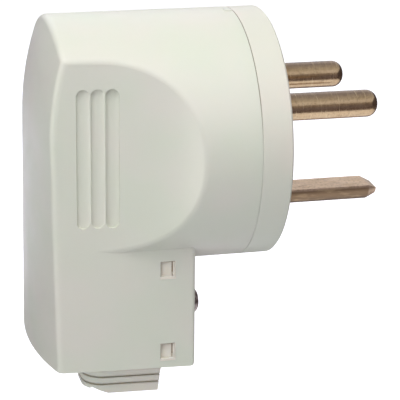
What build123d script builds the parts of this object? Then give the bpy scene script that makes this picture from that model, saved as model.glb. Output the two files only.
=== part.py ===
from build123d import *
from math import cos, radians, sin, sqrt, tan
import os

os.makedirs("parts", exist_ok=True)

# Side-exit mains plug, in millimetres.
# +X runs along the pins and away from the plug, +Z is up, and the neck hangs towards -Z.
# The two sides mirror each other across Y. The origin is the drum's centre on the face
# that meets the socket.

# Drum, body and back
drum_radius = 22.0
face_thickness = 5.4
body_depth = 41.9            # from the face to the crown of the back
wall = 2.0
waist_half_width = 14.2      # at the height of the drum's centre
side_draft = 3.5             # degrees, the flat sides widen towards the neck's end
flat_run = 8.9               # flat part of a side, from the back's crown to the flare
scoop_radius = 24.0
scoop_sweep = 75.0           # degrees of arc in the flare
back_radius = 50.0           # the back's curve, seen from above
dome_start = 3.0             # height where the back starts to lean forward
dome_radius = 50.0
dome_sweep = 60.0            # degrees of arc in the lean
back_edge_fillet = 1.3       # also round the scoops
rim_chamfer = 0.3
seam_chamfer = 0.12
nub_width = 1.6              # nubs at the drum's top and bottom, behind the seam
nub_length = 1.2
nub_height = 0.15
nub_gap = 0.3

# Neck
neck_front = 14.9            # neck's front face, behind the socket face
neck_bottom = 37.7           # below the drum's centre, at the neck's front
neck_slope = 1.5             # degrees, the end rises towards the back
neck_floor = 1.2
neck_rounding = 0.8          # round the edges of the neck's front

# Snap windows in the neck's sides
window_length = 2.6
window_height = 3.0
window_setback = 5.0         # centre of a window, behind the neck's front
upper_window_z = -19.6
lower_window_z = -34.6

# Finger grooves in the flat sides
groove_count = 3
groove_pitch = 2.5
groove_width = 2.3
groove_depth = 0.8
groove_length = 24.2
groove_undercut = 0.25       # lean of the steep edge
groove_hollow = 0.8          # share of the depth kept at mid-width
groove_setback = 9.8         # middle groove, in front of the back's crown
groove_centre_z = 0.75

# Pins
pin_radius = 2.4
pin_root_radius = 2.6        # the thicker part in the face plate
pin_root_reach = 0.4         # how far the root stands out of the face
pin_reach = 18.6
pin_spacing = 19.0
live_pin_z = 6.7
pin_tip_fillet = 1.9
earth_reach = 22.4
earth_flat_z = -11.15        # the flat top of the earth pin
earth_radius = 2.8
earth_flat_height = 0.45     # from the earth pin's axis up to its flat
earth_tip_length = 1.7
earth_tip_inset = 0.8
shoulder_radius = 3.8
shoulder_thickness = 1.6
terminal_radius = 3.4
terminal_length = 10.0
terminal_flat = 2.2          # height of the milled flat over the terminal's axis
terminal_flat_margin = 0.6   # left round behind the carrier
pin_hole_clearance = 0.1

# Insulating carrier behind the pins' shoulders
carrier_gap = 0.8            # to the spigot round it
carrier_thickness = 2.6
carrier_hole_clearance = 0.15
carrier_screw_y = 11.2
carrier_screw_z = -6.2
post_radius = 2.6

# Spigot that centres the face plate in the drum
spigot_depth = 2.6
spigot_wall = 2.0
fit_clearance = 0.2

# Screws: shank radius, head radius and head height
terminal_screw_size = (1.5, 2.5, 1.8)
carrier_screw_size = (1.2, 2.3, 1.7)
assembly_screw_size = (1.75, 3.2, 2.3)
clamp_screw_size = (1.75, 2.45, 2.4)
terminal_screw_length = 4.6
carrier_screw_bite = 2.6     # of the screw in the face plate
head_bevel = 0.3
head_dome_share = 0.6        # round of a domed head, as a share of its height
slot_width = 0.8
slot_depth = 0.9
screw_clearance = 0.2
thread_clearance = 0.05
washer_side = 5.4
washer_thickness = 0.8
washer_corner = 0.8

# Boss and inserts
boss_radius = 4.0
boss_gap = 1.2               # from the carrier's back to the boss
post_sink = 0.5              # how far the boss and posts run into the back's wall
insert_radius = 2.5
insert_length = 8.0
assembly_screw_z = -4.2
assembly_screw_length = 15.5
assembly_recess = 3.0

# Cord clamp in the neck
clamp_screw_y = 7.5
clamp_screw_z = -29.0
clamp_screw_bite = 4.8       # of a screw in its insert
clamp_post_radius = 3.2
clamp_post_height = 13.3     # from the back's crown to the posts' tips
clamp_bar_setback = 3.5      # front of the bar, behind the neck's front
clamp_bar_thickness = 2.6
clamp_bar_height = 6.4
clamp_cheek = 0.8            # bulge that faces the cable
cheek_height = 3.2
saddle_thickness = 4.0
saddle_hollow_radius = 4.3

# Neck cover and its snap tabs
cover_thickness = 2.2
cover_clearance = 0.15
tab_thickness = 1.4
tab_length = 5.6
tab_side_gap = 0.1
barb_height = 1.6
barb_length = 2.3
barb_gap = 0.3

# Cable grommet
grommet_setback = 10.4       # its centre, behind the neck's front
grommet_length = 15.1       # at its top, as is its width
grommet_width = 11.4
grommet_rear_corner = 4.2
grommet_front_corner = 0.5
grommet_reach = 47.3         # its lowest point, below the drum's centre
grommet_waist_inset = 1.0
grommet_taper = 4.7          # degrees
collar_overhang = 0.4
collar_thickness = 1.6
cable_radius = 3.8
rib_pitch = 1.45
rib_gap = 0.3
rib_depth = 0.6
rib_count = 4
end_rib_height = 1.7
tear_height = 1.3            # how much shorter the torn end is behind its middle
tear_start = -5.6            # from the grommet's centre
tear_end = -2.6
tear_lip = 1.0               # the same at the lip that is left at the very back
tear_lip_end = -5.9

# Places worked out from the sizes above
seam_x = -face_thickness
back_x = -body_depth
neck_front_x = -neck_front
scoop_start_x = back_x + flat_run
groove_centre_x = back_x + groove_setback
grommet_centre_x = neck_front_x - grommet_setback
clamp_bar_front_x = neck_front_x - clamp_bar_setback
clamp_bar_back_x = clamp_bar_front_x - clamp_bar_thickness
clamp_post_front_x = back_x + clamp_post_height
clamp_screw_length = neck_front_x - clamp_post_front_x + clamp_screw_bite
tear_start_x = grommet_centre_x + tear_start
tear_end_x = grommet_centre_x + tear_end
draft = radians(side_draft)
flat_offset = waist_half_width * cos(draft)
slope = tan(radians(neck_slope))
far_out = 2 * body_depth     # a length that clears the whole plug
live_pin_y = pin_spacing / 2
earth_centre_z = earth_flat_z - earth_flat_height
earth_flat_half = sqrt(earth_radius**2 - earth_flat_height**2)
spigot_radius = drum_radius - wall - fit_clearance
carrier_radius = spigot_radius - spigot_wall - carrier_gap
carrier_front_x = seam_x - shoulder_thickness
carrier_back_x = carrier_front_x - carrier_thickness
terminal_back_x = carrier_front_x - terminal_length
terminal_screw_x = (carrier_back_x + terminal_back_x) / 2
boss_front_x = carrier_back_x - boss_gap
window_x = neck_front_x - window_setback


def half_width(z, inset=0.0):
    # Half the width between the flat sides at height z
    return (flat_offset - inset) / cos(draft) - z * tan(draft)


def back_wall_x(y, inset):
    # Where the back's wall stands at y, below the height where it leans forward
    return back_x + back_radius - sqrt((back_radius - inset) ** 2 - y**2)


def neck_end_z(x, inset=0.0):
    # Height of the neck's sloping end at x
    return -neck_bottom + inset + (neck_front_x - x) * slope


# The region outside the +Y side: a flat with a concave flare out to the drum.
# Its sketch lies square to the drafted side, so one straight cut makes the whole side.
def side_cutter(inset):
    side_plan = Plane(origin=(0, 0, 0), x_dir=(1, 0, 0), z_dir=(0, -sin(draft), cos(draft)))
    flat = flat_offset - inset
    flare_radius = scoop_radius + inset
    flare_centre = (scoop_start_x, flat + flare_radius)
    with BuildPart() as cutter:
        with BuildSketch(side_plan):
            with BuildLine():
                flare = CenterArc(flare_centre, flare_radius, 270, scoop_sweep)
                side = Line((-far_out, flat), flare @ 0)
                outer = Line(flare @ 1, ((flare @ 1).X, far_out))
                top = Line(outer @ 1, (-far_out, far_out))
                Line(top @ 1, side @ 0)
            make_face()
        extrude(amount=far_out, both=True)
    return cutter.part


# The back's form: its side profile turned about an upright axis in front of the plug.
def back_form(inset):
    crown = back_x + inset
    axis_x = back_x + back_radius
    lean_radius = dome_radius - inset
    lean_centre = (crown + lean_radius, dome_start)
    with BuildPart() as form:
        with BuildSketch(Plane.XZ):
            with BuildLine():
                lean = CenterArc(lean_centre, lean_radius, 180, -dome_sweep)
                upright = Line((crown, -far_out), lean @ 0)
                top = Line(lean @ 1, (axis_x, (lean @ 1).Y))
                middle = Line(top @ 1, (axis_x, -far_out))
                Line(middle @ 1, upright @ 0)
            make_face()
        revolve(axis=Axis((axis_x, 0, 0), (0, 0, 1)))
    return form.part


# The housing's form, drawn in by a wall for its hollow: drum, flared body and neck.
def housing_form(inset, floor):
    cutter = side_cutter(inset)
    with BuildPart() as form:
        with BuildSketch(Plane.YZ.offset(seam_x)):
            Circle(drum_radius - inset)
        extrude(amount=-body_depth)
        add(cutter, mode=Mode.SUBTRACT)
        mirror(cutter, about=Plane.XZ, mode=Mode.SUBTRACT)
        with BuildSketch(Plane.YZ.offset(neck_front_x)):
            with BuildLine():
                Polyline(
                    (half_width(0, inset), 0),
                    (half_width(-far_out, inset), -far_out),
                    (-half_width(-far_out, inset), -far_out),
                    (-half_width(0, inset), 0),
                    close=True,
                )
            make_face()
        extrude(amount=-body_depth)
        with BuildSketch(Plane.XZ):
            with BuildLine():
                Polyline(
                    (far_out, neck_end_z(far_out, floor)),
                    (-far_out, neck_end_z(-far_out, floor)),
                    (-far_out, -2 * far_out),
                    (far_out, -2 * far_out),
                    close=True,
                )
            make_face()
        extrude(amount=far_out, both=True, mode=Mode.SUBTRACT)
        add(back_form(inset), mode=Mode.INTERSECT)
    return form.part


# One finger groove: a steep back edge and a hollow floor that rises forward, round at both ends.
# It is drawn on a flat face at Z = 0, with the groove along Y.
def groove_tool():
    half = groove_width / 2
    with BuildPart() as tool:
        with BuildSketch(Plane.XY.offset(-groove_depth)):
            SlotOverall(groove_length, groove_width, rotation=90)
        extrude(amount=2 * groove_depth)
        with BuildSketch(Plane.XZ):
            with BuildLine():
                hollow = ThreePointArc(
                    (half - groove_undercut, -groove_depth),
                    (0, -groove_depth * groove_hollow),
                    (-half, 0),
                )
                back = Line((half, 0), hollow @ 0)
                rise = Line(hollow @ 1, (-half, 2 * groove_depth))
                top = Line(rise @ 1, (half, 2 * groove_depth))
                Line(top @ 1, back @ 0)
            make_face()
        extrude(amount=groove_length, both=True, mode=Mode.INTERSECT)
    return tool.part


def slotted_screw(size, length, plane, domed=False):
    # A screw whose head sits on the plane and whose shank runs back from it
    shank_radius, head_radius, head_height = size
    with BuildPart() as screw:
        with BuildSketch(plane):
            Circle(shank_radius)
        extrude(amount=-length)
        with BuildSketch(plane):
            Circle(head_radius)
        extrude(amount=head_height)
        head_rim = screw.edges().filter_by(GeomType.CIRCLE).sort_by(SortBy.RADIUS)[-2:]
        top_rim = head_rim.sort_by(lambda edge: plane.to_local_coords(edge.center()).Z)[-1]
        if domed:
            fillet(top_rim, head_height * head_dome_share)
        else:
            chamfer(top_rim, head_bevel)
        with BuildSketch(plane.offset(head_height)):
            Rectangle(slot_width, 2 * head_radius + slot_width)
        extrude(amount=-slot_depth, mode=Mode.SUBTRACT)
    return screw.part


def threaded_insert(inner_radius, plane):
    # A plain sleeve, with its mouth on the plane
    with BuildPart() as insert:
        with BuildSketch(plane):
            Circle(insert_radius)
            Circle(inner_radius, mode=Mode.SUBTRACT)
        extrude(amount=-insert_length)
    return insert.part


# The grommet's section: nearly half-round at the back and squarer in front
def grommet_outline(grow):
    with BuildSketch() as outline:
        with Locations((grommet_centre_x, 0)):
            Rectangle(grommet_length, grommet_width)
        fillet(outline.vertices().group_by(Axis.X)[0], grommet_rear_corner)
        fillet(outline.vertices().group_by(Axis.X)[-1], grommet_front_corner)
        offset(amount=grow)
    return outline.sketch


# The earth pin's section, round with a flat on top, in the plane across the pins
def earth_outline(grow):
    with BuildSketch() as outline:
        with BuildLine():
            flat = Line((-earth_flat_half, earth_flat_z), (earth_flat_half, earth_flat_z))
            ThreePointArc(flat @ 1, (0, earth_centre_z - earth_radius), flat @ 0)
        make_face()
        if grow != 0:
            offset(amount=grow, kind=Kind.INTERSECTION)
    return outline.sketch


# What is cut from a terminal head: the milled flat and the threaded hole under it
def terminal_cut(y, z, up):
    flat_plane = Plane(origin=(0, y, z + up * terminal_flat), x_dir=(1, 0, 0), z_dir=(0, 0, up))
    flat_front = carrier_back_x - terminal_flat_margin
    with BuildPart() as cut:
        with BuildSketch(flat_plane):
            with Locations(((flat_front + terminal_back_x) / 2, 0)):
                Rectangle(flat_front - terminal_back_x, 2 * terminal_radius)
        extrude(amount=terminal_radius)
        with BuildSketch(flat_plane):
            with Locations((terminal_screw_x, 0)):
                Circle(terminal_screw_size[0] + thread_clearance)
        extrude(amount=-terminal_screw_length)
    return cut.part


def save(node, name):
    node.label = name
    export_step(node, f"parts/{name}.step")


# Rear cover: the drum's wall, flared body, domed back and the neck's side walls
side_face = Plane(
    origin=(0, waist_half_width, 0),
    x_dir=(-1, 0, 0),
    z_dir=(0, cos(draft), sin(draft)),
)

with BuildPart() as side_grooves:
    with Locations(side_face):
        with Locations((-groove_centre_x, groove_centre_z)):
            with GridLocations(groove_pitch, groove_pitch, groove_count, 1):
                add(groove_tool())


def on_back_rim(edge):
    # Where the back and the drum's top meet the flat sides
    centre = edge.center()
    behind = centre.X < scoop_start_x - fit_clearance
    above_end = centre.Z > neck_end_z(back_x) + wall
    smooth_seam = abs(centre.Z - dome_start) < fit_clearance
    return behind and above_end and not smooth_seam


def on_scoop_rim(edge):
    # Where a side's flare runs out through the drum
    centre = edge.center()
    beside = abs(centre.Y) > half_width(drum_radius)
    return edge.geom_type == GeomType.BSPLINE and centre.X > scoop_start_x and beside


def on_neck_front(edge):
    # The outer edges of the neck's front face
    centre = edge.center()
    return abs(centre.X - neck_front_x) < fit_clearance and centre.Z < -drum_radius


with BuildPart() as rear_cover:
    add(housing_form(0, 0))
    scoop_rim = rear_cover.edges().filter_by(on_scoop_rim)
    back_rim = rear_cover.edges().filter_by(on_back_rim)
    fillet(scoop_rim + back_rim, back_edge_fillet)
    fillet(rear_cover.edges().filter_by(on_neck_front), neck_rounding)
    chamfer(rear_cover.edges().group_by(Axis.X)[-1], seam_chamfer)
    add(housing_form(wall, neck_floor), mode=Mode.SUBTRACT)
    add(side_grooves.part, mode=Mode.SUBTRACT)
    mirror(side_grooves.part, about=Plane.XZ, mode=Mode.SUBTRACT)
    # Nubs at the drum's top and bottom, just behind the seam
    with BuildSketch(Plane.YZ.offset(seam_x - nub_gap)):
        Circle(drum_radius + nub_height)
        Rectangle(nub_width, 2 * far_out, mode=Mode.INTERSECT)
        Circle(drum_radius - wall / 2, mode=Mode.SUBTRACT)
    extrude(amount=-nub_length)
    # Snap windows, cut through both side walls
    with BuildSketch(Plane.XZ):
        with Locations((window_x, upper_window_z), (window_x, lower_window_z)):
            Rectangle(window_length, window_height)
    extrude(amount=far_out, both=True, mode=Mode.SUBTRACT)
    # Boss for the screw that holds the face plate
    with BuildSketch(Plane.YZ.offset(boss_front_x)):
        with Locations((0, assembly_screw_z)):
            Circle(boss_radius)
    extrude(amount=back_wall_x(boss_radius, wall - post_sink) - boss_front_x)
    with BuildSketch(Plane.YZ.offset(boss_front_x)):
        with Locations((0, assembly_screw_z)):
            Circle(insert_radius)
    extrude(amount=-insert_length, mode=Mode.SUBTRACT)
    # Posts for the cord clamp's screws, and the saddle between them
    with BuildSketch(Plane.YZ.offset(clamp_post_front_x)):
        with Locations((clamp_screw_y, clamp_screw_z), (-clamp_screw_y, clamp_screw_z)):
            Circle(clamp_post_radius)
        with Locations((0, clamp_screw_z)):
            Rectangle(2 * clamp_screw_y, saddle_thickness)
    extrude(amount=back_wall_x(clamp_screw_y + clamp_post_radius, wall - post_sink) - clamp_post_front_x)
    with BuildSketch(Plane.XY.offset(clamp_screw_z)):
        with Locations((grommet_centre_x, 0)):
            Circle(saddle_hollow_radius)
    extrude(amount=clamp_post_radius, both=True, mode=Mode.SUBTRACT)
    with BuildSketch(Plane.YZ.offset(clamp_post_front_x)):
        with Locations((clamp_screw_y, clamp_screw_z), (-clamp_screw_y, clamp_screw_z)):
            Circle(insert_radius)
    extrude(amount=-insert_length, mode=Mode.SUBTRACT)
    # Way out for the grommet, through the neck's floor
    with BuildSketch(Plane.XY.offset(-neck_bottom - wall)):
        add(grommet_outline(fit_clearance - grommet_waist_inset))
    extrude(amount=2 * wall + neck_floor, mode=Mode.SUBTRACT)
save(rear_cover.part, "rear_cover")

# Face plate: the disc that meets the socket, with a spigot that centres it in the drum
with BuildPart() as face_plate:
    with BuildSketch(Plane.YZ):
        Circle(drum_radius)
    extrude(amount=-face_thickness)
    chamfer(face_plate.edges().group_by(Axis.X)[-1], rim_chamfer)
    chamfer(face_plate.edges().group_by(Axis.X)[0], seam_chamfer)
    with BuildSketch(Plane.YZ.offset(seam_x)):
        Circle(spigot_radius)
        Circle(spigot_radius - spigot_wall, mode=Mode.SUBTRACT)
    extrude(amount=-spigot_depth)
    with BuildSketch(Plane.YZ.offset(seam_x)):
        with Locations((carrier_screw_y, carrier_screw_z), (-carrier_screw_y, carrier_screw_z)):
            Circle(post_radius)
    extrude(amount=-shoulder_thickness)
    # Ways through for the pins and the assembly screw
    with BuildSketch(Plane.YZ):
        with Locations((live_pin_y, live_pin_z), (-live_pin_y, live_pin_z)):
            Circle(pin_root_radius + pin_hole_clearance)
        with Locations((0, assembly_screw_z)):
            Circle(assembly_screw_size[0] + screw_clearance)
        add(earth_outline(pin_hole_clearance))
    extrude(amount=-face_thickness, mode=Mode.SUBTRACT)
    with BuildSketch(Plane.YZ):
        with Locations((0, assembly_screw_z)):
            Circle(assembly_screw_size[1] + screw_clearance)
    extrude(amount=-assembly_recess, mode=Mode.SUBTRACT)
    with BuildSketch(Plane.YZ.offset(carrier_front_x)):
        with Locations((carrier_screw_y, carrier_screw_z), (-carrier_screw_y, carrier_screw_z)):
            Circle(carrier_screw_size[0] + thread_clearance)
    extrude(amount=shoulder_thickness + carrier_screw_bite + thread_clearance, mode=Mode.SUBTRACT)
save(face_plate.part, "face_plate")


# A live pin: round shaft, thicker root, shoulder that seats on the face plate, and a flatted head
def live_pin(y):
    with BuildPart() as pin:
        with BuildSketch(Plane.YZ.offset(seam_x)):
            with Locations((y, live_pin_z)):
                Circle(pin_radius)
        extrude(amount=face_thickness + pin_reach)
        fillet(pin.edges().group_by(Axis.X)[-1], pin_tip_fillet)
        with BuildSketch(Plane.YZ.offset(seam_x)):
            with Locations((y, live_pin_z)):
                Circle(pin_root_radius)
        extrude(amount=face_thickness + pin_root_reach)
        with BuildSketch(Plane.YZ.offset(seam_x)):
            with Locations((y, live_pin_z)):
                Circle(shoulder_radius)
        extrude(amount=-shoulder_thickness)
        with BuildSketch(Plane.YZ.offset(carrier_front_x)):
            with Locations((y, live_pin_z)):
                Circle(terminal_radius)
        extrude(amount=-terminal_length)
        add(terminal_cut(y, live_pin_z, 1), mode=Mode.SUBTRACT)
    return pin.part


save(live_pin(-live_pin_y), "line_pin")
save(live_pin(live_pin_y), "neutral_pin")

# Earth pin: round with a flat on top and a bevelled tip
with BuildPart() as earth_pin:
    with BuildSketch(Plane.YZ.offset(seam_x)):
        add(earth_outline(0))
    extrude(amount=face_thickness + earth_reach - earth_tip_length)
    with BuildSketch(Plane.YZ.offset(earth_reach - earth_tip_length)):
        add(earth_outline(0))
    with BuildSketch(Plane.YZ.offset(earth_reach)):
        add(earth_outline(-earth_tip_inset))
    loft()
    with BuildSketch(Plane.YZ.offset(seam_x)):
        with Locations((0, earth_centre_z)):
            Circle(shoulder_radius)
    extrude(amount=-shoulder_thickness)
    with BuildSketch(Plane.YZ.offset(carrier_front_x)):
        with Locations((0, earth_centre_z)):
            Circle(terminal_radius)
    extrude(amount=-terminal_length)
    add(terminal_cut(0, earth_centre_z, -1), mode=Mode.SUBTRACT)
save(earth_pin.part, "earth_pin")

# Carrier: the insulating plate that holds the shoulders against the face plate
with BuildPart() as contact_carrier:
    with BuildSketch(Plane.YZ.offset(carrier_front_x)):
        Circle(carrier_radius)
        with Locations((live_pin_y, live_pin_z), (-live_pin_y, live_pin_z), (0, earth_centre_z)):
            Circle(terminal_radius + carrier_hole_clearance, mode=Mode.SUBTRACT)
        with Locations((0, assembly_screw_z)):
            Circle(assembly_screw_size[0] + screw_clearance, mode=Mode.SUBTRACT)
        with Locations((carrier_screw_y, carrier_screw_z), (-carrier_screw_y, carrier_screw_z)):
            Circle(carrier_screw_size[0] + screw_clearance, mode=Mode.SUBTRACT)
    extrude(amount=-carrier_thickness)
save(contact_carrier.part, "contact_carrier")

# Terminal screws and their saddle washers
terminals = {
    "line": (-live_pin_y, live_pin_z, 1),
    "neutral": (live_pin_y, live_pin_z, 1),
    "earth": (0, earth_centre_z, -1),
}
for name, (y, z, up) in terminals.items():
    flat_z = z + up * terminal_flat
    washer_plane = Plane(origin=(terminal_screw_x, y, flat_z), x_dir=(1, 0, 0), z_dir=(0, 0, up))
    with BuildPart() as saddle_washer:
        with BuildSketch(washer_plane):
            RectangleRounded(washer_side, washer_side, washer_corner)
            Circle(terminal_screw_size[0] + screw_clearance, mode=Mode.SUBTRACT)
        extrude(amount=washer_thickness)
    save(saddle_washer.part, f"{name}_washer")
    head_seat = washer_plane.offset(washer_thickness)
    save(slotted_screw(terminal_screw_size, terminal_screw_length, head_seat), f"{name}_terminal_screw")

# Screws that hold the carrier to the face plate
carrier_screw_length = carrier_thickness + shoulder_thickness + carrier_screw_bite
for name, y in {"left": -carrier_screw_y, "right": carrier_screw_y}.items():
    seat = Plane(origin=(carrier_back_x, y, carrier_screw_z), x_dir=(0, 1, 0), z_dir=(-1, 0, 0))
    save(slotted_screw(carrier_screw_size, carrier_screw_length, seat), f"{name}_carrier_screw")

# Assembly screw in the middle of the face, and the insert that it holds
assembly_seat = Plane(origin=(-assembly_recess, 0, assembly_screw_z), x_dir=(0, 1, 0), z_dir=(1, 0, 0))
save(slotted_screw(assembly_screw_size, assembly_screw_length, assembly_seat), "assembly_screw")
boss_mouth = Plane(origin=(boss_front_x, 0, assembly_screw_z), x_dir=(0, 1, 0), z_dir=(1, 0, 0))
save(threaded_insert(assembly_screw_size[0] + thread_clearance, boss_mouth), "assembly_insert")

# Neck cover: the plate that closes the neck's front, with a snap tab for each window
cover_back_x = neck_front_x - cover_thickness
cover_low_z = neck_end_z(cover_back_x, neck_floor) + cover_clearance
cover_inset = wall + cover_clearance
barb_front_x = window_x + window_length / 2 - barb_gap

with BuildPart() as neck_cover:
    with BuildSketch(Plane.YZ.offset(neck_front_x)):
        with BuildLine():
            Polyline(
                (half_width(0, cover_inset), 0),
                (half_width(cover_low_z, cover_inset), cover_low_z),
                (-half_width(cover_low_z, cover_inset), cover_low_z),
                (-half_width(0, cover_inset), 0),
                close=True,
            )
        make_face()
        Circle(drum_radius - wall + cover_clearance, mode=Mode.SUBTRACT)
        with Locations((clamp_screw_y, clamp_screw_z), (-clamp_screw_y, clamp_screw_z)):
            Circle(clamp_screw_size[0] + screw_clearance, mode=Mode.SUBTRACT)
    extrude(amount=-cover_thickness)
    for window_z in (upper_window_z, lower_window_z):
        tab_low = window_z - window_height / 2 + tab_side_gap
        tab_high = window_z + window_height / 2 - tab_side_gap
        tab_face_y = half_width(window_z, cover_inset)
        with BuildSketch(Plane.YZ.offset(cover_back_x)):
            with BuildLine():
                Polyline(
                    (half_width(tab_low, cover_inset), tab_low),
                    (half_width(tab_high, cover_inset), tab_high),
                    (half_width(tab_high, cover_inset) - tab_thickness, tab_high),
                    (half_width(tab_low, cover_inset) - tab_thickness, tab_low),
                    close=True,
                )
            make_face()
            mirror(about=Plane.YZ)
        extrude(amount=-tab_length)
        with BuildSketch(Plane.XY.offset(tab_low)):
            with BuildLine():
                Polyline(
                    (barb_front_x, tab_face_y - tab_thickness / 2),
                    (barb_front_x, tab_face_y + barb_height),
                    (barb_front_x - barb_length, tab_face_y),
                    (barb_front_x - barb_length, tab_face_y - tab_thickness / 2),
                    close=True,
                )
            make_face()
            mirror(about=Plane.XZ)
        extrude(amount=tab_high - tab_low)
save(neck_cover.part, "neck_cover")

# Cord clamp: a bar with a cheek towards the cable, its two screws and their inserts
with BuildPart() as cord_clamp_bar:
    with BuildSketch(Plane.YZ.offset(clamp_bar_front_x)):
        with Locations((0, clamp_screw_z)):
            SlotCenterToCenter(2 * clamp_screw_y, clamp_bar_height)
        with Locations((clamp_screw_y, clamp_screw_z), (-clamp_screw_y, clamp_screw_z)):
            Circle(clamp_screw_size[0] + screw_clearance, mode=Mode.SUBTRACT)
    extrude(amount=-clamp_bar_thickness)
    with BuildSketch(Plane.XY.offset(clamp_screw_z)):
        with BuildLine():
            cheek = ThreePointArc(
                (clamp_bar_back_x, -cable_radius),
                (clamp_bar_back_x - clamp_cheek, 0),
                (clamp_bar_back_x, cable_radius),
            )
            Line(cheek @ 1, cheek @ 0)
        make_face()
    extrude(amount=cheek_height / 2, both=True)
save(cord_clamp_bar.part, "cord_clamp_bar")

for name, y in {"left": -clamp_screw_y, "right": clamp_screw_y}.items():
    seat = Plane(origin=(neck_front_x, y, clamp_screw_z), x_dir=(0, 1, 0), z_dir=(1, 0, 0))
    save(slotted_screw(clamp_screw_size, clamp_screw_length, seat, domed=True), f"{name}_clamp_screw")
    post_mouth = Plane(origin=(clamp_post_front_x, y, clamp_screw_z), x_dir=(0, 1, 0), z_dir=(1, 0, 0))
    save(threaded_insert(clamp_screw_size[0] + thread_clearance, post_mouth), f"{name}_clamp_insert")

# Cable grommet: a collar inside the neck, a waist in its floor, and ribs below.
# All of them lie parallel to the neck's sloping end.
neck_end = Plane(
    origin=(0, 0, neck_end_z(0)),
    x_dir=(cos(radians(neck_slope)), 0, -sin(radians(neck_slope))),
    z_dir=(sin(radians(neck_slope)), 0, cos(radians(neck_slope))),
)
ribs_top = neck_end.offset(-fit_clearance)
ribs_length = grommet_reach + neck_end_z(grommet_centre_x) - fit_clearance

with BuildPart() as cable_grommet:
    with BuildSketch(neck_end.offset(neck_floor)):
        add(grommet_outline(collar_overhang))
    extrude(amount=collar_thickness)
    with BuildSketch(ribs_top):
        add(grommet_outline(-grommet_waist_inset))
    extrude(amount=fit_clearance + neck_floor + collar_thickness / 2)
    with BuildSketch(ribs_top):
        add(grommet_outline(0))
    extrude(amount=-ribs_length, taper=grommet_taper)
    for rib in range(rib_count):
        gap_depth = ribs_length - end_rib_height - rib * rib_pitch
        drawn_in = gap_depth * tan(radians(grommet_taper))
        with BuildSketch(ribs_top.offset(-gap_depth)):
            add(grommet_outline(collar_overhang))
            add(grommet_outline(-rib_depth - drawn_in), mode=Mode.SUBTRACT)
        extrude(amount=rib_gap, mode=Mode.SUBTRACT)
    # The bore for the cable
    with BuildSketch(Plane.XY.offset(-2 * grommet_reach)):
        with Locations((grommet_centre_x, 0)):
            Circle(cable_radius)
    extrude(amount=2 * grommet_reach, mode=Mode.SUBTRACT)
    # The torn lower end, shorter at the back
    with BuildSketch(Plane.XZ):
        with BuildLine():
            Polyline(
                (grommet_centre_x - grommet_length, -grommet_reach + tear_lip),
                (grommet_centre_x + tear_lip_end, -grommet_reach + tear_lip),
                (tear_start_x, -grommet_reach + tear_height),
                (tear_end_x, -grommet_reach),
                (tear_end_x, -2 * grommet_reach),
                (grommet_centre_x - grommet_length, -2 * grommet_reach),
                close=True,
            )
        make_face()
    extrude(amount=grommet_width, both=True, mode=Mode.SUBTRACT)
save(cable_grommet.part, "cable_grommet")
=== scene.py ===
from math import cos, radians, sin, tan

import bpy
import numpy as np
from mathutils import Matrix, Vector


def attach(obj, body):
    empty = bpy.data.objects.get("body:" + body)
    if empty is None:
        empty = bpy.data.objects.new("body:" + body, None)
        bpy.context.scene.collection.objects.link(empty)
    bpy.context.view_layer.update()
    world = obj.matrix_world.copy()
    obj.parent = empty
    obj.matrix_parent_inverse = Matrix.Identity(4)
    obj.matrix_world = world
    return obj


mm = 0.001
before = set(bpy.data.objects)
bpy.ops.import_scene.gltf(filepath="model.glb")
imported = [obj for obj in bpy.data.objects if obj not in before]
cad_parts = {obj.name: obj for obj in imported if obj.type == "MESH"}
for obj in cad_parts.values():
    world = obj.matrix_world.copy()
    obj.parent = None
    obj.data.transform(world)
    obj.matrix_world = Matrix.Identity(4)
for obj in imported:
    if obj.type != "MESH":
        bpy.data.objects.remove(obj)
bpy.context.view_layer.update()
print("frame loaded,", len(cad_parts), "nodes")


# Camera: the photograph's view, from the side at -Y, a little from behind and above
cameraView = {
    "place": (-92.36, -305.80, 100.97),   # mm, in the plug's frame
    "azimuth": 15.009,                    # degrees round to the back
    "elevation": 19.783,                  # degrees above the horizon
    "roll": 1.437,
    "focalPixels": 1868.97,
    "imagePixels": 400,
    "sensor": 36.0,
    "clip": (0.01, 20),                   # metres
}


def makeCamera(v):
    a, e, r = radians(v["azimuth"]), radians(v["elevation"]), radians(v["roll"])
    right = Vector((cos(a), -sin(a), 0))
    back = Vector((-sin(a) * cos(e), -cos(a) * cos(e), sin(e)))
    up = back.cross(right)
    rolledRight = right * cos(r) + up * sin(r)
    rolledUp = up * cos(r) - right * sin(r)
    data = bpy.data.cameras.new("photoCamera")
    data.sensor_width = v["sensor"]
    data.lens = v["sensor"] * v["focalPixels"] / v["imagePixels"]
    data.clip_start, data.clip_end = v["clip"]
    camera = bpy.data.objects.new("photoCamera", data)
    turn = Matrix((rolledRight, rolledUp, back)).transposed().to_4x4()
    camera.matrix_world = Matrix.Translation(Vector(v["place"]) * mm) @ turn
    bpy.context.scene.collection.objects.link(camera)
    bpy.context.scene.camera = camera


makeCamera(cameraView)
print("camera placed")


# Node helpers for the materials
def newMaterial(name):
    material = bpy.data.materials.new(name)
    material.use_nodes = True
    tree = material.node_tree
    shader = next(node for node in tree.nodes if node.type == "BSDF_PRINCIPLED")
    return material, tree, shader


def addNode(tree, kind, settings=None, inputs=None):
    node = tree.nodes.new(kind)
    for key, value in (settings or {}).items():
        setattr(node, key, value)
    for key, value in (inputs or {}).items():
        node.inputs[key].default_value = value
    return node


def objectPoint(tree, scale=(1, 1, 1)):
    # object coordinates through a mapping, so that a pattern can be stretched along one axis
    coords = addNode(tree, "ShaderNodeTexCoord")
    mapping = addNode(tree, "ShaderNodeMapping", None, {"Scale": scale})
    tree.links.new(coords.outputs["Object"], mapping.inputs["Vector"])
    return mapping.outputs["Vector"]


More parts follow.
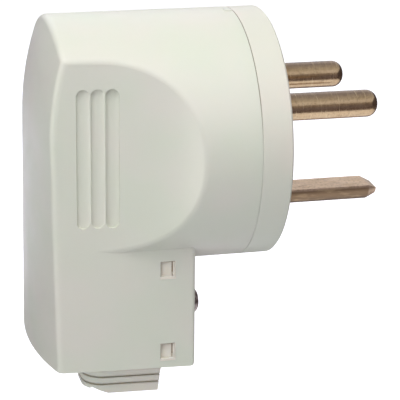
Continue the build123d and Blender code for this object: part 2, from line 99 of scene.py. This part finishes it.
def splitPoint(tree, point):
    parts = addNode(tree, "ShaderNodeSeparateXYZ")
    tree.links.new(point, parts.inputs["Vector"])
    return parts.outputs


def addNoise(tree, point, scale, detail=3.0, roughness=0.5):
    noise = addNode(tree, "ShaderNodeTexNoise", None,
                    {"Scale": scale, "Detail": detail, "Roughness": roughness})
    tree.links.new(point, noise.inputs["Vector"])
    return noise.outputs["Fac"]


def addRamp(tree, value, positions, colours):
    ramp = addNode(tree, "ShaderNodeValToRGB")
    elements = ramp.color_ramp.elements
    while len(elements) < len(colours):
        elements.new(0.5)
    for element, position, colour in zip(elements, positions, colours):
        element.position = position
        element.color = (*colour, 1.0)
    tree.links.new(value, ramp.inputs["Fac"])
    return ramp.outputs["Color"]


def addRange(tree, value, span, low=0.0, high=1.0):
    # low at the first value of the span, high at the second, and level beyond them
    mapped = addNode(tree, "ShaderNodeMapRange", None,
                     {"From Min": span[0], "From Max": span[1], "To Min": low, "To Max": high})
    tree.links.new(value, mapped.inputs["Value"])
    return mapped.outputs["Result"]


def addFade(tree, value, span, low=0.0, high=1.0):
    # the same with a span in mm
    return addRange(tree, value, [edge * mm for edge in span], low, high)


def addMath(tree, operation, first, second, clamp=False):
    node = addNode(tree, "ShaderNodeMath", {"operation": operation, "use_clamp": clamp})
    tree.links.new(first, node.inputs[0])
    if isinstance(second, bpy.types.NodeSocket):
        tree.links.new(second, node.inputs[1])
    else:
        node.inputs[1].default_value = second
    return node.outputs["Value"]


def tint(tree, share, colour, shade):
    # a socket's colour, which gives way to a fixed shade as the share rises to 1
    mix = addNode(tree, "ShaderNodeMix", {"data_type": "RGBA"})   # colours go in at 6 and 7, out at 2
    tree.links.new(share, mix.inputs[0])
    tree.links.new(colour, mix.inputs[6])
    mix.inputs[7].default_value = (*shade, 1.0)
    return mix.outputs[2]


def addBump(tree, shader, height, strength, distance):
    # distance in mm, the depth of the relief at full strength
    bump = addNode(tree, "ShaderNodeBump", None, {"Strength": strength, "Distance": distance * mm})
    tree.links.new(height, bump.inputs["Height"])
    tree.links.new(bump.outputs["Normal"], shader.inputs["Normal"])


noiseSpan = (0.3, 0.7)   # where nearly all of a noise's values lie

# Moulded plastic: a fine satin skin whose tone drifts a little between a cool and a warm white.
# The face turns cooler lower down, and the grommet carries painted shade between its ribs.
plastics = {
    "coverPlastic": {"cool": (0.660, 0.686, 0.594), "warm": (0.692, 0.680, 0.616),
                     "rough": (0.36, 0.50), "grain": 0.05, "depth": 0.10},
    "facePlastic": {"cool": (0.680, 0.676, 0.600), "warm": (0.724, 0.664, 0.606),
                    "rough": (0.36, 0.50), "grain": 0.05, "depth": 0.10,
                    "low": {"shade": (0.664, 0.690, 0.600), "heights": (2, -12)}},
    # painted light: the tab and lip plastics are lighter than the cover, to lift the shade inside the snap
    # windows
    "tabPlastic": {"cool": (0.860, 0.805, 0.715), "warm": (0.880, 0.805, 0.735),
                   "rough": (0.40, 0.52), "grain": 0.05, "depth": 0.35},
    "lipPlastic": {"cool": (0.840, 0.785, 0.680), "warm": (0.850, 0.780, 0.680),
                   "rough": (0.40, 0.52), "grain": 0.05, "depth": 0.35},
    "grommetPlastic": {"cool": (0.820, 0.835, 0.725), "warm": (0.870, 0.825, 0.740),
                       "rough": (0.50, 0.62), "grain": 0.10, "depth": 0.35,
                       # painted shade in the gaps between the grommet's ribs
                       "gaps": {"slope": 1.5, "lowest": -46.1, "pitch": 1.45, "reach": (0.14, 0.42),
                                "start": (-0.7, -0.6), "shade": (0.46, 0.415, 0.34), "share": 0.5}},
    "carrierPlastic": {"cool": (0.400, 0.380, 0.330), "warm": (0.440, 0.410, 0.350),
                       "rough": (0.45, 0.60), "grain": 0.08, "depth": 0.06},
}
skin = {
    # noise scales per metre, as everywhere below
    "drift": 70.0, "driftSpan": (0.36, 0.64), "patches": 260.0, "grain": 4200.0,
    "grainHeight": 0.05,             # mm
    "glowReach": (1.5, 1.2, 0.9),    # mm that red, green and blue light travel below the surface
}


def paintRibShade(tree, point, tone, v):
    # Painted shade grows with nearness to a gap. Distances in mm are measured across the gaps, which lean
    # by the slope in degrees, and the painted shade starts just below the lowest one.
    across = addNode(tree, "ShaderNodeVectorMath", {"operation": "DOT_PRODUCT"})
    tree.links.new(point, across.inputs[0])
    across.inputs[1].default_value = (sin(radians(v["slope"])), 0, cos(radians(v["slope"])))
    above = addMath(tree, "SUBTRACT", across.outputs["Value"], v["lowest"] * mm)
    nearest = addMath(tree, "PINGPONG", above, v["pitch"] / 2 * mm)
    lines = addFade(tree, nearest, v["reach"], v["share"], 0.0)
    ribbed = addFade(tree, above, v["start"])
    return tint(tree, addMath(tree, "MULTIPLY", lines, ribbed), tone, v["shade"])


def makePlastic(name, v):
    material, tree, shader = newMaterial(name)
    point = objectPoint(tree)
    drift = addNoise(tree, point, skin["drift"], detail=2.0)
    tone = addRamp(tree, drift, skin["driftSpan"], (v["cool"], v["warm"]))
    if "low" in v:
        lower = addFade(tree, splitPoint(tree, point)["Z"], v["low"]["heights"])
        tone = tint(tree, lower, tone, v["low"]["shade"])
    if "gaps" in v:
        tone = paintRibShade(tree, point, tone, v["gaps"])
    tree.links.new(tone, shader.inputs["Base Color"])
    patches = addNoise(tree, point, skin["patches"], detail=4.0)
    tree.links.new(addRange(tree, patches, noiseSpan, *v["rough"]), shader.inputs["Roughness"])
    grain = addNoise(tree, point, skin["grain"], roughness=0.6)
    addBump(tree, shader, grain, v["grain"], skin["grainHeight"])
    shader.inputs["Subsurface Weight"].default_value = v["depth"]
    shader.inputs["Subsurface Radius"].default_value = [reach * mm for reach in skin["glowReach"]]
    shader.inputs["Subsurface Scale"].default_value = 1.0
    return material


# Worn brass: gold with brown streaks and flecks, and lighter bare metal along the finest marks, which run
# round the live pins and along the earth pin, partly wear and partly painted glints. Spans are mm along X
# for the tip and heights for
# the others: side stains the earth pin's flank, under paints a dark reflection low on that flank, and over
# paints a dark reflection along the live pins' crown.
beyond = (60, 61)   # past every pin, where a stain or painted reflection stays unseen
brasses = {
    "turnedBrass": {"gold": (0.465, 0.342, 0.222), "dull": (0.42, 0.300, 0.185),
                    "brown": (0.20, 0.14, 0.09), "bare": (0.72, 0.59, 0.40),
                    "marks": (3400, 260, 260), "streaks": (420, 560, 560),
                    "rough": (0.18, 0.28), "bump": 0.14, "fleck": 0.45, "glint": 0.28,
                    "tip": (17.0, 18.5), "tipShare": 0.95,
                    "side": beyond, "under": beyond, "over": (8.2, 8.9)},
    "drawnBrass": {"gold": (0.69, 0.530, 0.405), "dull": (0.60, 0.455, 0.345),
                   "brown": (0.22, 0.150, 0.095), "bare": (0.56, 0.42, 0.26),
                   "marks": (260, 1100, 1100), "streaks": (300, 700, 700),
                   "rough": (0.40, 0.54), "bump": 0.16, "fleck": 0.45, "glint": 0.45,
                   "tip": (20.6, 20.9), "tipShare": -0.6,
                   "side": (-11.2, -11.7), "under": (-12.4, -13.8), "over": beyond},
    "insertBrass": {"gold": (0.70, 0.54, 0.28), "dull": (0.56, 0.42, 0.20),
                    "brown": (0.44, 0.30, 0.15), "bare": (0.74, 0.60, 0.34),
                    "marks": (1600, 160, 160), "streaks": (160, 900, 900),
                    "rough": (0.24, 0.34), "bump": 0.10, "fleck": 0.15, "glint": 0.2,
                    "tip": beyond, "tipShare": 0.0,
                    "side": beyond, "under": beyond, "over": beyond},
}
tarnishAndPaintedLight = {
    "streakSpan": (0.20, 0.38, 0.58), "flecks": 1900.0, "fleckSpan": (0.50, 0.66),
    "under": {"share": 0.80, "shade": (0.12, 0.08, 0.05)},
    "over": {"share": 0.65, "shade": (0.16, 0.12, 0.12)},
    "glintSpan": (0.52, 0.70),
    "markHeight": 0.06,   # mm
}


def makeBrass(name, v):
    material, tree, shader = newMaterial(name)
    shader.inputs["Metallic"].default_value = 1.0
    point = objectPoint(tree)
    parts = splitPoint(tree, point)
    streaks = addNoise(tree, objectPoint(tree, v["streaks"]), 1.0, detail=4.0, roughness=0.6)
    colour = addRamp(tree, streaks, tarnishAndPaintedLight["streakSpan"], (v["brown"], v["dull"], v["gold"]))
    flecks = addNoise(tree, point, tarnishAndPaintedLight["flecks"], roughness=0.7)
    colour = tint(tree, addRange(tree, flecks, tarnishAndPaintedLight["fleckSpan"], 0.0, v["fleck"]), colour, v["brown"])
    # A negative share at the tip takes part of the brown off again, as on the rubbed earth pin
    side = addFade(tree, parts["Z"], v["side"])
    tip = addFade(tree, parts["X"], v["tip"], 0.0, v["tipShare"])
    colour = tint(tree, addMath(tree, "ADD", side, tip, clamp=True), colour, v["brown"])
    # under and over paint dark reflections: low on the earth pin's flank and along the live pins' crown
    for place in ("under", "over"):
        paintedDarkReflection = addFade(tree, parts["Z"], v[place], 0.0, tarnishAndPaintedLight[place]["share"])
        colour = tint(tree, paintedDarkReflection, colour, tarnishAndPaintedLight[place]["shade"])
    # lighter bare metal along the finest marks: partly wear, partly painted glints
    marks = addNoise(tree, objectPoint(tree, v["marks"]), 1.0, roughness=0.6)
    colour = tint(tree, addRange(tree, marks, tarnishAndPaintedLight["glintSpan"], 0.0, v["glint"]), colour, v["bare"])
    tree.links.new(colour, shader.inputs["Base Color"])
    tree.links.new(addRange(tree, marks, noiseSpan, *v["rough"]), shader.inputs["Roughness"])
    addBump(tree, shader, marks, v["bump"], tarnishAndPaintedLight["markHeight"])
    return material


# Steel: patches of a light and a dark tone under a fine roughness
steels = {
    "platedSteel": {"light": (0.62, 0.62, 0.60), "dark": (0.48, 0.48, 0.47), "rough": (0.22, 0.36),
                    "metal": 1.0},
    "brownedSteel": {"light": (0.42, 0.35, 0.34), "dark": (0.12, 0.085, 0.085), "rough": (0.26, 0.44),
                     "metal": 0.5},
}
steelSkin = {"patches": 900.0, "patchSpan": (0.38, 0.62), "fine": 3000.0, "bump": 0.08,
             "fineHeight": 0.04}   # mm


def makeSteel(name, v):
    material, tree, shader = newMaterial(name)
    shader.inputs["Metallic"].default_value = v["metal"]
    point = objectPoint(tree)
    patches = addNoise(tree, point, steelSkin["patches"], detail=4.0)
    colour = addRamp(tree, patches, steelSkin["patchSpan"], (v["dark"], v["light"]))
    tree.links.new(colour, shader.inputs["Base Color"])
    fine = addNoise(tree, point, steelSkin["fine"], detail=2.0)
    tree.links.new(addRange(tree, fine, noiseSpan, *v["rough"]), shader.inputs["Roughness"])
    addBump(tree, shader, fine, steelSkin["bump"], steelSkin["fineHeight"])
    return material


finishes = {}
for values, makeFinish in ((plastics, makePlastic), (brasses, makeBrass), (steels, makeSteel)):
    for name, v in values.items():
        finishes[name] = makeFinish(name, v)

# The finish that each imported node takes. The other screws and the washers are plated.
nodeFinish = {
    "rear_cover": "coverPlastic", "face_plate": "facePlastic", "neck_cover": "tabPlastic",
    "cable_grommet": "grommetPlastic", "contact_carrier": "carrierPlastic",
    "cord_clamp_bar": "carrierPlastic", "line_pin": "turnedBrass", "neutral_pin": "turnedBrass",
    "earth_pin": "drawnBrass", "assembly_insert": "insertBrass", "left_clamp_insert": "insertBrass",
    "right_clamp_insert": "insertBrass", "left_clamp_screw": "brownedSteel",
    "right_clamp_screw": "brownedSteel",
}
for name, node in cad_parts.items():
    node.data.materials.clear()
    node.data.materials.append(finishes[nodeFinish.get(name, "platedSteel")])
print("finishes assigned")


def newPiece(name, points, faces, material):
    # points in mm, with the object left at the origin
    mesh = bpy.data.meshes.new(name)
    mesh.from_pydata((np.asarray(points) * mm).tolist(), [], np.asarray(faces).tolist())
    mesh.materials.append(material)
    piece = bpy.data.objects.new(name, mesh)
    bpy.context.scene.collection.objects.link(piece)
    return piece


# Pale lips along the bottom and the front edge of each snap window, in a plastic painted lighter than the
# cover to stand for the lit sill and reveal, with thin dark bars beside them as painted shade in the gaps.
# A bar is given by its x limits, its z limits, its outer depths at both x limits and its inner depth.
# x and z count from the window's centre, and depths from the neck's side, which leans by the draft.
windows = {
    "centreX": -19.9, "centresZ": (-19.6, -34.6), "sideAtZero": 14.2, "draft": 3.5,
    "lips": [((-1.32, 1.42), (-1.70, -1.26), (-0.03, -0.03), 0.9),
             ((1.24, 1.42), (-1.26, 1.52), (-0.03, -0.03), 0.6),
             ((0.94, 1.24), (-1.26, 1.46), (0.22, 0.12), 1.0),
             ((-1.22, 0.70), (-1.26, 1.40), (0.85, 0.32), 1.1)],
    "gaps": [((-1.32, -1.22), (-1.26, 1.46), (0.04, 0.04), 0.6),
             ((-1.22, 1.24), (1.40, 1.50), (0.02, 0.02), 0.5),
             ((0.70, 0.94), (-0.50, 1.40), (0.28, 0.28), 1.2)],
    "gapTones": ((0.22, 0.17, 0.12), (0.36, 0.29, 0.22)), "gapPattern": 900.0, "gapRough": 0.7,
}


def makeWindowBars(name, bars, material, v):
    # Every bar's corners as one array over window, side, bar, outer or inner end, and corner:
    # y = side * (half width at z - depth), where the half width shrinks as z rises, by the draft
    limits = np.array([[*across, *upward, *outer, inner] for across, upward, outer, inner in bars])
    centreZ = np.reshape(v["centresZ"], (-1, 1, 1, 1, 1))
    side = np.reshape((-1, 1), (-1, 1, 1, 1))
    x = v["centreX"] + limits[:, None, [0, 1, 1, 0]]
    z = centreZ + limits[:, None, [2, 2, 3, 3]]
    depth = np.stack([limits[:, [4, 5, 5, 4]], limits[:, [6, 6, 6, 6]]], axis=1)
    y = side * (v["sideAtZero"] - z * tan(radians(v["draft"])) - depth)
    points = np.stack(np.broadcast_arrays(x, y, z), axis=-1)
    box = np.array([(0, 1, 2, 3), (7, 6, 5, 4), (4, 5, 1, 0), (5, 6, 2, 1), (6, 7, 3, 2), (7, 4, 0, 3)])
    bothBoxes = np.stack([box, box[:, ::-1]])[:, None]   # the far side's faces run the other way round
    first = np.arange(0, points.size // 3, 8).reshape(-1, 2, len(bars), 1, 1)
    piece = newPiece(name, points.reshape(-1, 3), (first + bothBoxes).reshape(-1, 4), material)
    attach(piece, "root")


# painted shade: dark bars that stand for the shade in the window gaps
def makeGapShade(v):
    material, tree, shader = newMaterial("gapShade")
    shader.inputs["Roughness"].default_value = v["gapRough"]
    pattern = addNoise(tree, objectPoint(tree), v["gapPattern"])
    tree.links.new(addRamp(tree, pattern, noiseSpan, v["gapTones"]), shader.inputs["Base Color"])
    return material


makeWindowBars("windowLips", windows["lips"], finishes["lipPlastic"], windows)
makeWindowBars("windowGapShadows", windows["gaps"], makeGapShade(windows), windows)


# A dark line of painted shade lies in the seam between the drum and the face plate, and fades out lower
# down
seamLine = {"centreX": -5.4, "width": 0.09, "radius": 21.95, "steps": 256, "fade": (2.0, 11.0),
            "plain": (0.60, 0.60, 0.54), "dark": (0.20, 0.14, 0.10), "rough": 0.6}


def makeSeamLine(v):
    # A flat band round the drum: x = centre ± width / 2, y and z = radius * cos and sin of the turn
    turn = np.linspace(0, 2 * np.pi, v["steps"], endpoint=False)
    x = v["centreX"] + np.array([[-v["width"] / 2], [v["width"] / 2]])
    y, z = v["radius"] * np.cos(turn), v["radius"] * np.sin(turn)
    points = np.stack(np.broadcast_arrays(x, y, z), axis=-1)
    here = np.arange(v["steps"])
    after = np.roll(here, -1)
    faces = np.stack([here, after, after + v["steps"], here + v["steps"]], axis=1)
    material, tree, shader = newMaterial("seamShade")
    height = addFade(tree, splitPoint(tree, objectPoint(tree))["Z"], v["fade"])
    tree.links.new(addRamp(tree, height, (0.0, 1.0), (v["plain"], v["dark"])), shader.inputs["Base Color"])
    shader.inputs["Roughness"].default_value = v["rough"]
    line = newPiece("seamLine", points.reshape(-1, 3), faces, material)
    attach(line, "root")


makeSeamLine(seamLine)
print("window lips and seam line made")


# Floor well below the plug, which is held by its pins. Floor and sky are white wherever the
# camera sees them, straight on or mirrored in metal.
studio = {
    "floorDrop": 120, "floorSize": 6000,   # mm
    "floorGlow": 0.86, "floorColour": (0.62, 0.62, 0.62), "floorRough": 0.9,
    "skyLow": (0.60, 0.60, 0.61), "skyTop": (0.80, 0.80, 0.80), "skySpan": (0.0, 0.7), "skyStrength": 0.28,
}


def seenByEye(tree):
    # 1 for the rays that show a background: from the camera, mirrored or let through
    rays = addNode(tree, "ShaderNodeLightPath").outputs
    either = addMath(tree, "MAXIMUM", rays["Is Camera Ray"], rays["Is Glossy Ray"])
    return addMath(tree, "MAXIMUM", either, rays["Is Transmission Ray"])


def makeFloor(v):
    material, tree, shader = newMaterial("floorPaper")
    shader.inputs["Base Color"].default_value = (*v["floorColour"], 1.0)
    shader.inputs["Roughness"].default_value = v["floorRough"]
    glow = addNode(tree, "ShaderNodeEmission", None, {"Color": (1, 1, 1, 1)})
    seen = addMath(tree, "MULTIPLY", seenByEye(tree), v["floorGlow"])
    tree.links.new(seen, glow.inputs["Strength"])
    both = addNode(tree, "ShaderNodeAddShader")
    tree.links.new(shader.outputs[0], both.inputs[0])
    tree.links.new(glow.outputs[0], both.inputs[1])
    output = next(node for node in tree.nodes if node.type == "OUTPUT_MATERIAL")
    tree.links.new(both.outputs[0], output.inputs["Surface"])
    half, z = v["floorSize"] / 2, -v["floorDrop"]
    corners = [(-half, -half, z), (half, -half, z), (half, half, z), (-half, half, z)]
    floor = newPiece("floor", corners, [(0, 1, 2, 3)], material)


def makeWorld(v):
    world = bpy.data.worlds.new("studio")
    bpy.context.scene.world = world
    world.use_nodes = True
    tree = world.node_tree
    tree.nodes.clear()
    output = addNode(tree, "ShaderNodeOutputWorld")
    height = splitPoint(tree, addNode(tree, "ShaderNodeTexCoord").outputs["Generated"])["Z"]
    sky = addRamp(tree, height, v["skySpan"], (v["skyLow"], v["skyTop"]))
    light = addNode(tree, "ShaderNodeBackground", None, {"Strength": v["skyStrength"]})
    tree.links.new(sky, light.inputs["Color"])
    white = addNode(tree, "ShaderNodeBackground", None, {"Color": (1, 1, 1, 1), "Strength": 1.0})
    mix = addNode(tree, "ShaderNodeMixShader")
    tree.links.new(seenByEye(tree), mix.inputs[0])
    tree.links.new(light.outputs[0], mix.inputs[1])
    tree.links.new(white.outputs[0], mix.inputs[2])
    tree.links.new(mix.outputs[0], output.inputs["Surface"])


# Studio cards that show only as reflections: places and half sizes in mm, and how bright each is
cards = {
    "frontHigh": {"place": (0, -460, 135), "half": (900, 0, 75), "shade": (0.34, 0.29, 0.26)},
    "frontLow": {"place": (0, -460, -30), "half": (900, 0, 90), "shade": (0.25, 0.22, 0.24)},
    "frontFloor": {"place": (0, -310, -119), "half": (900, 150, 0), "shade": (0.18, 0.14, 0.14)},
    "sideWall": {"place": (460, -100, 45), "half": (0, 800, 165), "shade": (0.12, 0.10, 0.11)},
    "sideFloor": {"place": (330, 0, -118), "half": (130, 460, 0), "shade": (0.15, 0.12, 0.12)},
    "rearFloor": {"place": (40, 135, -119), "half": (300, 85, 0), "shade": (0.24, 0.20, 0.19)},
    "rearWall": {"place": (-330, 460, -10), "half": (500, 0, 110), "shade": (0.16, 0.12, 0.13)},
    "leftStrip": {"place": (-380, -120, -35), "half": (0, 110, 84), "shade": (5.0, 4.9, 4.5)},
    "leftTop": {"place": (-360, -150, 470), "half": (140, 200, 0), "shade": (5.0, 4.9, 4.5)},
    "greyTop": {"place": (0, -20, 620), "half": (900, 480, 0), "shade": (0.74, 0.73, 0.68)},
}


def makeCard(name, v):
    # The corners lie at place ± half, across the two directions in which the card has a size
    signs = np.zeros((4, 3))
    signs[:, np.flatnonzero(v["half"])] = [(-1, -1), (1, -1), (1, 1), (-1, 1)]
    corners = np.array(v["place"]) + np.array(v["half"]) * signs
    material, _, shader = newMaterial(name)
    shader.inputs["Base Color"].default_value = (0, 0, 0, 1)
    shader.inputs["Emission Color"].default_value = (*v["shade"], 1.0)
    shader.inputs["Emission Strength"].default_value = 1.0
    card = newPiece(name, corners, [(0, 1, 2, 3)], material)
    card.visible_camera = False
    card.visible_diffuse = False
    card.visible_shadow = False


# Lamps: place, aim and size in mm, power in watts. The metal mirrors the cards, not the lamps.
lamps = {
    "topSoftbox": {"place": (-40, -90, 270), "aim": (-20, 0, 0), "size": (380, 320), "power": 0.70,
                   "colour": (1.0, 1.0, 0.96)},
    "topRear": {"place": (-150, -120, 330), "aim": (-30, 0, 0), "size": (150, 150), "power": 0.26,
                "colour": (1.0, 1.0, 1.0)},
    "cameraFill": {"place": (-125, -340, 140), "aim": (-20, 0, -10), "size": (320, 320), "power": 0.50,
                   "colour": (1.0, 1.0, 1.03)},
    "farRear": {"place": (-80, 450, 160), "aim": (-30, 0, 0), "size": (260, 260), "power": 1.55,
                "colour": (0.74, 0.72, 1.0)},
}


def makeLamp(name, v):
    data = bpy.data.lights.new(name, "AREA")
    data.shape = "RECTANGLE"
    data.size = v["size"][0] * mm
    data.size_y = v["size"][1] * mm
    data.energy = v["power"]
    data.color = v["colour"]
    lamp = bpy.data.objects.new(name, data)
    place = Vector(v["place"]) * mm
    lamp.location = place
    lamp.rotation_euler = (Vector(v["aim"]) * mm - place).to_track_quat("-Z", "Y").to_euler()
    lamp.visible_glossy = False
    bpy.context.scene.collection.objects.link(lamp)


makeFloor(studio)
makeWorld(studio)
for name, v in cards.items():
    makeCard(name, v)
for name, v in lamps.items():
    makeLamp(name, v)
bpy.context.scene.view_settings.view_transform = "Standard"
print("studio ready")
